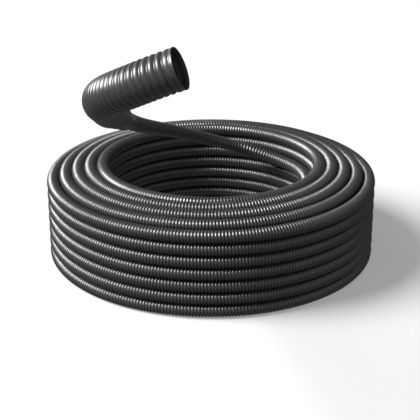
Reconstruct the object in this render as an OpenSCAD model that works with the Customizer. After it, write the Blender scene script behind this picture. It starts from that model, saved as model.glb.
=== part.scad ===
// Corrugated conduit, wound as a loose coil that lies on its side. Its inner end is drawn out of
// the bore, widens towards its mouth and bends over. Millimetres, +Z up. The origin is where the
// coil's axis meets the floor.

/* [Conduit] */
// Outside diameter, over the ribs
conduit_d = 20; // [16:1:25]
// Thickness of the wall, which follows the waves
wall_t = 0.8; // [0.4:0.1:1.2]

/* [Coil] */
// Columns of turns, side by side, from the bore to the outside
columns = 5; // [3:1:7]
// Layers of turns in the outermost column
layers = 7; // [4:1:10]
// Radius of the innermost turns, to the middle of the conduit
inner_turn_r = 169; // [150:1:200]
// How far the conduit beds into the turn beside it
column_nest = 0.7; // [0.2:0.1:2]
// How far the conduit beds into the turn below it
layer_nest = 1.2; // [0.2:0.1:2]
// Extra layers that the innermost column stands above the outermost
crown_layers = 1; // [0:1:2]

/* [Free end] */
// Outside diameter at the mouth, over the ribs
mouth_d = 40; // [24:1:44]
// Length on which the free end widens from the conduit's diameter to the mouth's
widening_l = 760; // [400:20:840]
// Length at the mouth that is as wide as the mouth
even_l = 70; // [40:5:100]
// Distance from one rib to the next at the mouth
mouth_rib_pitch = 6.7; // [5:0.1:8]
// How deep the grooves between the ribs are at the mouth
rib_depth = 2; // [1:0.1:2.4]
// How deep the last groove is, behind the cut, as a share of the others
cuff_share = 0.35; // [0.1:0.05:1]
// Length at the mouth on which the ribs are modelled one by one
ribbed_l = 90; // [60:10:160]
// Distance between sections on the rest of the free end
plain_step = 40; // [30:5:60]

/* [Hidden] */
$fn = 96;

// Steps that the free end's round section is divided into
sides = 12;
// Sections for each rib, so that every crest and every groove has one
rib_sections = 4;
// Steps of each span when the route is measured
span_steps = 8;

r = conduit_d / 2;
column_pitch = conduit_d - column_nest;
layer_pitch = conduit_d - layer_nest;
crown_h = crown_layers * layer_pitch;

// The middle of the free end, from the turn that it leaves to the mouth
route = [
    [29, -168, 85], [84, -146, 87], [126, -104, 95], [147, -52, 106], [153, 0, 113], [145, 50, 112],
    [121, 91, 111], [87, 118, 115], [52, 124, 124], [17, 109, 139], [-14, 74, 159], [-31, 36, 176],
    [-55, -9, 197], [-80, -60, 219], [-107, -120, 244], [-118, -184, 272], [-114, -256, 293],
    [-115, -326, 321], [-112, -397, 345], [-113, -458, 368], [-112, -520, 389], [-111, -556, 405],
    [-111, -589, 418], [-109, -623, 432], [-102, -652, 445], [-84, -680, 459], [-58, -697, 474],
    [-31, -702, 485]
];

// Coil. Column 0 is next to the bore.
function column_r(k) = inner_turn_r + k * column_pitch;
function layer_z(j) = r + j * layer_pitch;
// The top of the coil is crowned: a parabola from the innermost column down to the outermost
function top_z(k) = layer_z(layers - 1) + crown_h * (1 - pow(k / (columns - 1), 2));

module turn_section(turn_r, z) {
    translate([turn_r, z])
        circle(r = r);
}

// What shows of the winding: the bore's turns, the outer turns, the top and the underside
module winding_section() {
    for (j = [0 : layers - 1 + crown_layers])
        turn_section(column_r(0), layer_z(j));
    for (j = [0 : layers - 1])
        turn_section(column_r(columns - 1), layer_z(j));
    for (k = [1 : columns - 2]) {
        turn_section(column_r(k), layer_z(0));
        turn_section(column_r(k), top_z(k));
    }
}

// The turns behind those, taken as one block up to the middle of the turns that show
module core_section() {
    polygon(concat(
        [for (k = [0 : columns - 1]) [column_r(k), layer_z(0)]],
        [for (k = [columns - 1 : -1 : 0]) [column_r(k), top_z(k)]]
    ));
}

module coil() {
    color([0.16, 0.16, 0.17])
        rotate_extrude() {
            winding_section();
            core_section();
        }
}

// Free end. The route is a cubic B-spline that its points draw out, measured along its length.
function unit(v) = v / norm(v);
// The route's points, with one more past each end so that the curve reaches the first and the last
function guide(i) =
    i < 0 ? 2 * route[0] - route[1]
    : i >= len(route) ? 2 * route[len(route) - 1] - route[len(route) - 2]
    : route[i];
function spline(a, b, c, d, t) =
    (pow(1 - t, 3) * a + (3 * pow(t, 3) - 6 * t * t + 4) * b
     + (3 * (t + t * t - pow(t, 3)) + 1) * c + pow(t, 3) * d) / 6;
function route_at(u) =
    let (i = min(floor(u), len(route) - 2))
    spline(guide(i - 1), guide(i), guide(i + 1), guide(i + 2), u - i);

step_count = span_steps * (len(route) - 1);
// Pairs of length along the route and place on it
measured = [
    for (i = 0, s = 0; i <= step_count;
         i = i + 1, s = s + norm(route_at(i / span_steps) - route_at((i - 1) / span_steps)))
        [s, i / span_steps]
];
route_l = measured[step_count][0];
function at_length(s) = route_at(lookup(s, measured));

// Lengths at which a section stands: wide apart first, then close together over the ribs
plain_l = route_l - ribbed_l;
plain_count = ceil(plain_l / plain_step);
rib_count = round(ribbed_l / mouth_rib_pitch);
section_s = concat(
    [for (i = [0 : plain_count - 1]) plain_l * i / plain_count],
    [for (i = [0 : rib_count * rib_sections]) plain_l + ribbed_l * i / (rib_count * rib_sections)]
);
last = len(section_s) - 1;

// How far the free end has widened at a length along it, from 0 to 1, gently at both ends
function widened(s) =
    let (u = min(max((s - (route_l - even_l - widening_l)) / widening_l, 0), 1))
    u * u * (3 - 2 * u);
function crest_r(s) = r + (mouth_d / 2 - r) * widened(s);
// The outside runs in waves over the ribs, with a crest at the cut end, and at crest size before them.
// The last wave, next to the cut, is shallow, which leaves a plain cuff there.
function groove_share(s) = s > route_l - ribbed_l / rib_count ? cuff_share : 1;
function wave(s) =
    s < plain_l ? 0 : groove_share(s) * (1 - cos(360 * rib_count * (route_l - s) / ribbed_l)) / 2;
function outer_r(s) = crest_r(s) - rib_depth * wave(s);

centre = [for (s = section_s) at_length(s)];
heading = [
    for (i = [0 : last]) unit(centre[min(i + 1, last)] - centre[max(i - 1, 0)])
];
// Each section's upright is the one before it, turned no more than the route turns
upright = [
    for (i = 0, n = [0, 0, 1]; i <= last; i = i + 1, n = i > last ? n : n - (n * heading[i]) * heading[i])
        unit(n - (n * heading[i]) * heading[i])
];

// A section's flats stand at the radius, and its corners a little outside it
function section(i, radius) = [
    for (a = [0 : 360 / sides : 359])
        centre[i] + radius / cos(180 / sides) * (cos(a) * upright[i] + sin(a) * cross(heading[i], upright[i]))
];
// One band of faces between two neighbouring sections that start at points a and b
function band(a, b) = [
    for (j = [0 : sides - 1]) [a + j, a + (j + 1) % sides, b + (j + 1) % sides, b + j]
];

module free_end() {
    inside = (last + 1) * sides;
    color([0.16, 0.16, 0.17])
        polyhedron(
            points = concat(
                [for (i = [0 : last]) each section(i, outer_r(section_s[i]))],
                [for (i = [0 : last]) each section(i, outer_r(section_s[i]) - wall_t)]
            ),
            faces = concat(
                [for (i = [0 : last - 1]) each band(i * sides, (i + 1) * sides)],
                [for (i = [0 : last - 1]) each band(inside + (i + 1) * sides, inside + i * sides)],
                band(inside, 0),
                band(last * sides, inside + last * sides)
            ),
            convexity = 8
        );
}

coil();
free_end();
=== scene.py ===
# %% [markdown]
# # A coil of corrugated conduit
#
# Corrugated conduit is the thin, ribbed plastic tube that electricians pull cables through. It is
# sold as a coil: here five columns of turns, seven to eight layers high, lying on its side. The
# inner end is drawn up out of the bore, widens to twice its size and bends over.
#
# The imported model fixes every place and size. What this script adds is the skin: the ribs on every
# turn that shows, the ribbed free end with its open mouth, and the finish of the plastic.

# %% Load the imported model
import math

import bpy
import numpy as np
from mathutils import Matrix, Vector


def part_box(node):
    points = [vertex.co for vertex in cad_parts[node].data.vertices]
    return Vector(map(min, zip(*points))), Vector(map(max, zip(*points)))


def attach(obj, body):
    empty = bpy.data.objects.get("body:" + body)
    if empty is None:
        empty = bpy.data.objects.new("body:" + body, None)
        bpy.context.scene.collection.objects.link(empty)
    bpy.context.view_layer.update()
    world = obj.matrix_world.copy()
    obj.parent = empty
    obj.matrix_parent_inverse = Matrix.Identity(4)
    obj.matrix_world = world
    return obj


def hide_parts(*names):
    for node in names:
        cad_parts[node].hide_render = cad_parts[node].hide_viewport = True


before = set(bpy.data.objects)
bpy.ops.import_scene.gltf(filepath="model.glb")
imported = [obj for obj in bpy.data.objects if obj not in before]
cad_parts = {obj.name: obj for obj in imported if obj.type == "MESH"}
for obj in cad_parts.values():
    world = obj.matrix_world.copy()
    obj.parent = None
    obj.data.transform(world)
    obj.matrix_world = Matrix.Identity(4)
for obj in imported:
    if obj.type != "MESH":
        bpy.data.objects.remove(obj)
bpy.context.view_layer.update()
coil_low, coil_high = (np.array(corner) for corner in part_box("coil"))
print("coil, mm:", np.round((coil_high - coil_low) * 1000, 1))

# %% [markdown]
# ## The conduit's own sizes
#
# The same few numbers make every turn: the diameter over the ribs, the wall, how far apart the ribs
# stand and how deep the grooves between them are. The coil adds how closely its turns bed together,
# and the free end how wide its mouth is, on what length it widens to it, and how shallow the rib at
# the cut is beside the others.

# %% Sizes, in metres
conduit_r = 0.010
wall_t = 0.0008
rib_pitch = 0.00465
rib_depth = 0.0020

columns = 5
outer_layers = 7
inner_layers = 8
column_pitch = 0.0193
layer_pitch = 0.0188
inner_turn_r = 0.169

mouth_r = 0.020
mouth_rib_pitch = 0.0067
mouth_rib_depth = 0.0022
cuff_share = 0.35
widening_length = 0.76
even_length = 0.07

outer_turn_r = inner_turn_r + (columns - 1) * column_pitch
print("outermost turns reach", round((outer_turn_r + conduit_r) * 1000, 1), "mm from the axis")

# %% [markdown]
# ## Camera
#
# The camera stands well back and looks a little down on the coil. The free end comes almost half of
# the way to it, so the wide mouth looks larger still beside the turns. The camera is set up first,
# because the long free end has to stay in its view.

# %% Aim a camera
camera_place = np.array([-0.0092, -1.6748, 0.7488])
camera_aim = np.array([-0.0016, 0.0, 0.0622])
camera_focal = 97.28
sensor_width = 36.0


def facing(direction):
    """The turn, as Euler angles, that points an object's own -Z along a direction, its +Y upright."""
    x, y, z = direction
    return (math.atan2(math.hypot(x, y), -z), 0.0, math.atan2(y, x) - math.pi / 2)


camera = bpy.data.objects.new("camera", bpy.data.cameras.new("camera"))
camera.data.lens = camera_focal
camera.data.sensor_width = sensor_width
camera.data.clip_end = 20
camera.location = camera_place
camera.rotation_euler = facing(camera_aim - camera_place)
bpy.context.collection.objects.link(camera)
bpy.context.scene.camera = camera
print("camera", round(float(np.linalg.norm(camera_aim - camera_place)), 2), "m from the coil")

# %% [markdown]
# ## The route of the free end
#
# On the real coil the free end starts as one more turn against the bore, climbs as it comes off the
# wall, and then runs up and forward over the rim to a last short bend. A route like this could be
# a Bezier curve drawn by hand. A cubic B-spline is steadier: its points only pull on the curve, so
# whole millimetres are fine enough and the bends stay smooth.

# %% Draw the route as a B-spline
route_mm = [
    (29, -168, 85), (84, -146, 87), (126, -104, 95), (147, -52, 106), (153, 0, 113), (145, 50, 112),
    (121, 91, 111), (87, 118, 115), (52, 124, 124), (17, 109, 139), (-14, 74, 159), (-31, 36, 176),
    (-55, -9, 197), (-80, -60, 219), (-107, -120, 244), (-118, -184, 272), (-114, -256, 293),
    (-115, -326, 321), (-112, -397, 345), (-113, -458, 368), (-112, -520, 389), (-111, -556, 405),
    (-111, -589, 418), (-109, -623, 432), (-102, -652, 445), (-84, -680, 459), (-58, -697, 474),
    (-31, -702, 485),
]


def b_spline(points, steps):
    """Points on the uniform cubic B-spline of a row of guides, with the end guides reached exactly.

    Between guides b and c, with a before and d after them and t from 0 to 1, the curve is
    ((1-t)^3 a + (3t^3 - 6t^2 + 4) b + (3t + 3t^2 - 3t^3 + 1) c + t^3 d) / 6.
    """
    guides = np.vstack([2 * points[0] - points[1], points, 2 * points[-1] - points[-2]])
    t = np.linspace(0, 1, steps, endpoint=False)[None, :, None]
    a, b, c, d = (guides[i:len(guides) - 3 + i][:, None, :] for i in range(4))
    spans = (1 - t) ** 3 * a + (3 * t**3 - 6 * t**2 + 4) * b
    spans = (spans + (3 * t + 3 * t**2 - 3 * t**3 + 1) * c + t**3 * d) / 6
    return np.vstack([spans.reshape(-1, 3), points[-1:]])


route = b_spline(np.array(route_mm) / 1000, 60)
route_s = np.concatenate([[0], np.cumsum(np.linalg.norm(np.diff(route, axis=0), axis=1))])
free_length = float(route_s[-1])
print("free end:", round(free_length, 3), "m long")

# %% [markdown]
# ## The ribs
#
# Each rib is a round, full hoop and each groove a narrow crease, because the plastic is blown outwards
# into a mould. A plain cosine wave would make groove and crest alike. The height of a cosine without
# its sign has round crests that meet in creases, and a power a little below one fills the crests out.

# %% The shape of one rib
crest_power = 0.8


def dip(phase):
    """How far the outside has dipped, from 0 on a crest to 1 in a groove, where phase counts ribs.

    1 - |cos(pi phase)| ** power.
    """
    return 1 - np.abs(np.cos(np.pi * phase)) ** crest_power


print("ribs on the outermost turn:", round(2 * math.pi * outer_turn_r / rib_pitch))

# %% [markdown]
# ## From a grid of points to a mesh
#
# Every surface here is a grid: one direction runs along the conduit and the other round it. Numpy
# works all the points out at once, and the faces are the grid's squares. Where a direction closes
# on itself, the last row joins the first.


# %% Build a mesh from a grid
def grid_faces(rows, cols, close_rows, close_cols):
    """The four corners of each square of a rows x cols grid, as rows of point numbers."""
    i, j = np.meshgrid(
        np.arange(rows if close_rows else rows - 1),
        np.arange(cols if close_cols else cols - 1),
        indexing="ij",
    )
    i2, j2 = (i + 1) % rows, (j + 1) % cols
    corners = [i * cols + j, i * cols + j2, i2 * cols + j2, i2 * cols + j]
    return np.stack(corners, axis=-1).reshape(-1, 4)


def mesh_object(name, points, faces, crest, inside=None):
    """A smooth object from points and four-cornered faces.

    Each point also carries how near the crest it is, and whether it lies inside the conduit.
    """
    if inside is None:
        inside = np.zeros(len(points))
    mesh = bpy.data.meshes.new(name)
    mesh.vertices.add(len(points))
    mesh.vertices.foreach_set("co", np.ascontiguousarray(points, dtype=np.float32).ravel())
    mesh.loops.add(faces.size)
    mesh.loops.foreach_set("vertex_index", faces.astype(np.int32).ravel())
    mesh.polygons.add(len(faces))
    mesh.polygons.foreach_set("loop_start", np.arange(0, faces.size, 4, dtype=np.int32))
    mesh.polygons.foreach_set("use_smooth", np.ones(len(faces), dtype=bool))
    for label, values in (("crest", crest), ("inside", inside)):
        attribute = mesh.attributes.new(label, "FLOAT", "POINT")
        attribute.data.foreach_set("value", values.astype(np.float32))
    mesh.update(calc_edges=True)
    mesh.validate()
    made = bpy.data.objects.new(name, mesh)
    bpy.context.collection.objects.link(made)
    return made


# %% [markdown]
# ## The plastic
#
# The conduit is black plastic with a satin gloss: nearly all that is seen of it is what it reflects.
# So the colour is almost black, and the roughness does the work. It varies a little with a fine
# noise. The crests are a little paler than the grooves: partly wear from handling, partly a painted
# sheen on the crests and painted shade in the grooves. The inside of the conduit is dull.

# %% Make the black plastic
plastic_black = (0.012, 0.012, 0.013, 1)
# Crest colour: paler for wear from handling and as a painted sheen, which leaves the grooves in painted
# shade.
crest_wear_and_sheen = (0.020, 0.020, 0.021, 1)
inside_roughness = 0.8


def black_plastic():
    """Satin black plastic: paler where crest is 1, mottled by a noise, and dull where inside is 1."""
    material = bpy.data.materials.new("black conduit plastic")
    material.use_nodes = True
    nodes, links = material.node_tree.nodes, material.node_tree.links
    shader = nodes["Principled BSDF"]
    shader.inputs["IOR"].default_value = 1.55
    place = nodes.new("ShaderNodeTexCoord")
    crest = nodes.new("ShaderNodeAttribute")
    crest.attribute_name = "crest"
    mottle = nodes.new("ShaderNodeTexNoise")
    mottle.inputs["Scale"].default_value = 60
    mottle.inputs["Detail"].default_value = 4
    links.new(place.outputs["Object"], mottle.inputs["Vector"])

    # The crests take the paler colour: partly wear, partly a painted sheen; the darker grooves are
    # painted shade.
    colour = nodes.new("ShaderNodeMix")
    colour.data_type = "RGBA"
    colour.inputs["A"].default_value = plastic_black
    colour.inputs["B"].default_value = crest_wear_and_sheen
    links.new(crest.outputs["Fac"], colour.inputs["Factor"])
    links.new(colour.outputs["Result"], shader.inputs["Base Color"])

    rough = nodes.new("ShaderNodeMapRange")
    rough.inputs["From Min"].default_value = 0.3
    rough.inputs["From Max"].default_value = 0.7
    rough.inputs["To Min"].default_value = 0.30
    rough.inputs["To Max"].default_value = 0.38
    links.new(mottle.outputs["Fac"], rough.inputs["Value"])
    inside = nodes.new("ShaderNodeAttribute")
    inside.attribute_name = "inside"
    dulled = nodes.new("ShaderNodeMix")
    dulled.inputs["B"].default_value = inside_roughness
    links.new(inside.outputs["Fac"], dulled.inputs["Factor"])
    links.new(rough.outputs["Result"], dulled.inputs["A"])
    links.new(dulled.outputs["Result"], shader.inputs["Roughness"])
    return material


plastic = black_plastic()

# %% [markdown]
# ## The wound turns
#
# Only the outside of the winding shows: the outer wall, the bore's wall, the crowned top and the
# underside. Each turn there is a ring of its own, and only the part of its section that faces out is
# made, because its neighbours hide the rest. The angle across the section is 0 on the side away from
# the axis, 90 on top, 180 on the bore's side and 270 underneath.

# %% Make one turn
widest_step = 19


def turn_surface(turn_r, turn_z, start, end, sections, first_rib):
    """Points and crest values of part of a ribbed ring round the Z axis.

    With u round the axis and v across the section, the point is
    ((R + r cos v) cos u, (R + r cos v) sin u, z + r sin v), where r follows the ribs along u.
    """
    ribs = round(2 * math.pi * turn_r / rib_pitch)
    count = ribs * sections
    phase = np.arange(count) / sections + first_rib
    u = 2 * np.pi * phase / ribs
    steps = math.ceil((end - start) / widest_step)
    v = np.radians(np.linspace(start, end, steps + 1))
    dips = dip(phase)[:, None]
    radius = conduit_r - rib_depth * dips
    reach = turn_r + radius * np.cos(v)
    height = turn_z + radius * np.sin(v)
    points = np.stack([reach * np.cos(u)[:, None], reach * np.sin(u)[:, None], height], axis=-1)
    crest = np.repeat(1 - dips, len(v), axis=1)
    faces = grid_faces(count, len(v), close_rows=True, close_cols=False)
    return points.reshape(-1, 3), faces, crest.ravel()


def turn(name, turn_r, turn_z, start, end, sections, first_rib):
    """One ribbed turn of the coil, riding on the coil's body."""
    points, faces, crest = turn_surface(turn_r, turn_z, start, end, sections, first_rib)
    made = mesh_object(name, points, faces, crest)
    made.data.materials.append(plastic)
    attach(made, "root")
    return made


# %% [markdown]
# ## Winding the coil
#
# The winding's section is walked once round: up the outer wall, over the crowned top, down the
# bore's wall and back along the underside. Each turn is made for `bed` degrees to either side of the
# way it faces, far enough to bed against its neighbours, and a turn on a corner faces two ways. A top
# turn goes `crown_step` degrees further on the outer side, where the crown steps down. Each rib takes
# six sections along the turn, or four in the bore and underneath, where less of it shows.

# %% Lay the turns round the section
fine, plain = 6, 4
bed = 96
crown_step = 20
turns = []
randoms = np.random.default_rng(5)


def layer_z(layer):
    return conduit_r + layer * layer_pitch


def top_z(column):
    """Height of a column's top turn: a parabola from the innermost column down to the outermost."""
    crown = (inner_layers - outer_layers) * layer_pitch
    return layer_z(outer_layers - 1) + crown * (1 - (column / (columns - 1)) ** 2)


def add_turn(name, column, z, start, end, sections):
    turn_r = inner_turn_r + column * column_pitch
    turns.append(turn(name, turn_r, z, start, end, sections, float(randoms.random())))


for layer in range(outer_layers):
    low = -90 - bed if layer == 0 else -bed
    high = 90 + bed if layer == outer_layers - 1 else bed
    add_turn(f"outer_turn_{layer + 1}", columns - 1, layer_z(layer), low, high, fine)

for layer in range(inner_layers):
    low = 90 - bed if layer == inner_layers - 1 else 180 - bed
    high = 270 + bed if layer == 0 else 180 + bed
    add_turn(f"bore_turn_{layer + 1}", 0, layer_z(layer), low, high, plain)

for column in range(1, columns - 1):
    add_turn(f"top_turn_{column}", column, top_z(column), 90 - bed - crown_step, 90 + bed, fine)
    add_turn(f"under_turn_{column}", column, layer_z(0), 270 - bed, 270 + bed, plain)

turn_faces = sum(len(t.data.polygons) for t in turns)
print(len(turns), "turns,", 2 * turn_faces, "triangles")
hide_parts("coil")

# %% [markdown]
# ## The free end
#
# The free end is the same conduit carried along the route. A frame that turns no more than the
# route does goes along it, and a ribbed circle stands square on each point. The wall turns over
# at the cut mouth and comes back inside, following the same waves one wall thickness in.


# %% Carry a frame along the route
def frames_along(path):
    """Unit heading, side and upright at each point of a path.

    The heading follows the path. The upright is carried from point to point and only loses its part
    along the new heading, so the frame never spins round the path.
    """
    heading = np.gradient(path, axis=0)
    heading /= np.linalg.norm(heading, axis=1, keepdims=True)
    upright = np.empty_like(path)
    carried = np.array([0.0, 0.0, 1.0])
    for i, along in enumerate(heading):
        carried = carried - carried.dot(along) * along
        carried /= np.linalg.norm(carried)
        upright[i] = carried
    return heading, np.cross(heading, upright), upright


route_heading, route_side, route_upright = frames_along(route)


def along_route(values, s):
    """Values that are known at each route point, read at lengths s along it."""
    return np.stack([np.interp(s, route_s, values[:, k]) for k in range(3)], axis=-1)


# %% [markdown]
# The free end widens on its way to the mouth, gently at both ends of the stretch, and its ribs move
# apart as it does, most of all on the long straight stretch, where the conduit has been pulled out.
# To place them, ribs are counted back from the cut: over a short length ds there are ds / pitch of
# them. The sections are then taken evenly in that count, so each rib gets the same number wherever
# it is.

# %% Count the ribs along the free end
pulled_at = (0.25, 0.5, 0.65, 0.8, 1.2)
pulled_pitch = (rib_pitch, 0.0068, 0.008, 0.008, mouth_rib_pitch)


def widened(s):
    """How far the free end has widened at lengths s: 0 to 1, with level ends: u^2 (3 - 2u)."""
    u = np.clip((s - (free_length - even_length - widening_length)) / widening_length, 0, 1)
    return u * u * (3 - 2 * u)


rib_steps = np.diff(route_s) / np.interp(route_s[1:], pulled_at, pulled_pitch)
route_ribs = np.concatenate([[0], np.cumsum(rib_steps)])
route_ribs -= route_ribs[-1]
print("ribs on the free end:", int(-route_ribs[0]))

# %% [markdown]
# The ribs nearest the mouth get more sections than the rest, because they are the largest in view.
# The last one, at the cut, is so shallow that it reads as a plain cuff. Inside, the ribs go back
# past the bend, beyond anything that can be seen through the mouth.

# %% Make the free end
free_sides = 32
mouth_ribs = 40
mouth_sections = 12
inside_ribs = 30
inside_sections = 8


def rib_counts(first, last, sections):
    """Rib counts, zero at the mouth and falling behind it, with so many sections to each rib."""
    return np.arange(first * sections, last * sections) / sections


outside = np.concatenate([
    rib_counts(math.ceil(route_ribs[0]), -mouth_ribs, fine),
    rib_counts(-mouth_ribs, 0, mouth_sections),
    [0],
])
inside = np.concatenate([[0], rib_counts(-inside_ribs, 0, inside_sections)[::-1]])
free_ribs = np.concatenate([outside, inside])
free_s = np.interp(free_ribs, route_ribs, route_s)
free_dip = dip(free_ribs) * np.where(free_ribs > -1, cuff_share, 1)
free_depth = rib_depth + (mouth_rib_depth - rib_depth) * widened(free_s)
free_r = conduit_r + (mouth_r - conduit_r) * widened(free_s) - free_depth * free_dip
free_r[len(outside):] -= wall_t

angle = np.linspace(0, 2 * np.pi, free_sides, endpoint=False)[None, :, None]
middle = along_route(route, free_s)[:, None, :]
side = along_route(route_side, free_s)[:, None, :]
upright = along_route(route_upright, free_s)[:, None, :]
free_points = middle + free_r[:, None, None] * (np.cos(angle) * upright + np.sin(angle) * side)

ring = np.arange(len(free_s))
free_crest = np.where(ring < len(outside), 1 - free_dip, 0)
free_inside = (ring > len(outside)).astype(float)
free_end = mesh_object(
    "free_end_skin",
    free_points.reshape(-1, 3),
    grid_faces(len(free_s), free_sides, close_rows=False, close_cols=True),
    np.repeat(free_crest, free_sides),
    np.repeat(free_inside, free_sides),
)
free_end.data.materials.append(plastic)
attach(free_end, "root")
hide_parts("free_end")
print("free end:", 2 * len(free_end.data.polygons), "triangles")

# %% [markdown]
# ## Floor and light
#
# The floor is a plain sheet, large enough to have no edge in view. It glows a little, so that even a
# shadow on it stays pale, and its light is kept off the conduit: black plastic would show it as a
# grey sheen on everything that faces down.

# %% Lay the floor
floor_reach = 15
floor_grey = 0.26
floor_glow = 0.26
corner_signs = ((-1, -1), (1, -1), (1, 1), (-1, 1))
floor_corners = [(x * floor_reach, y * floor_reach, 0) for x, y in corner_signs]
floor = bpy.data.objects.new("floor", bpy.data.meshes.new("floor"))
floor.data.from_pydata(floor_corners, [], [(0, 1, 2, 3)])
floor_white = bpy.data.materials.new("white floor")
floor_white.use_nodes = True
floor_shader = floor_white.node_tree.nodes["Principled BSDF"]
floor_shader.inputs["Base Color"].default_value = (floor_grey, floor_grey, floor_grey, 1)
floor_shader.inputs["Roughness"].default_value = 0.9
floor_shader.inputs["Emission Color"].default_value = (1, 1, 1, 1)
floor_shader.inputs["Emission Strength"].default_value = floor_glow
floor.data.materials.append(floor_white)
floor.visible_glossy = False
floor.visible_diffuse = False
bpy.context.collection.objects.link(floor)

# %% [markdown]
# Black plastic is shown by what it reflects. A large key light on the left, halfway up the sky, draws
# a bright dash on every crest and a soft shadow to the right. A weak light from behind edges the
# turns on their left, and a very broad one in front lifts the rest out of the black. The sky is
# white where the camera sees it, but lights the conduit only weakly.

# %% Hang the lamps
sky_seen = 1.1
sky_light = 0.22


def soft_light(name, bearing, height, spread, power):
    """A distant light, given by its bearing and height in the sky and how wide it looks, in degrees."""
    made = bpy.data.objects.new(name, bpy.data.lights.new(name, "SUN"))
    made.data.angle = math.radians(spread)
    made.data.energy = power
    turned, raised = math.radians(bearing), math.radians(height)
    across = math.cos(raised)
    towards = np.array([across * math.cos(turned), across * math.sin(turned), math.sin(raised)])
    made.rotation_euler = facing(-towards)
    bpy.context.collection.objects.link(made)


soft_light("key", -174, 42, 34, 11.5)
soft_light("edge", 120, 10, 30, 0.22)
soft_light("front", -80, 25, 80, 0.85)
world = bpy.data.worlds.new("studio")
world.use_nodes = True
backdrop = world.node_tree.nodes["Background"]
backdrop.inputs["Color"].default_value = (1, 1, 1, 1)
seen_directly = world.node_tree.nodes.new("ShaderNodeLightPath")
strength = world.node_tree.nodes.new("ShaderNodeMapRange")
strength.inputs["To Min"].default_value = sky_light
strength.inputs["To Max"].default_value = sky_seen
world.node_tree.links.new(seen_directly.outputs["Is Camera Ray"], strength.inputs["Value"])
world.node_tree.links.new(strength.outputs["Result"], backdrop.inputs["Strength"])
bpy.context.scene.world = world
bpy.context.scene.view_settings.view_transform = "Standard"
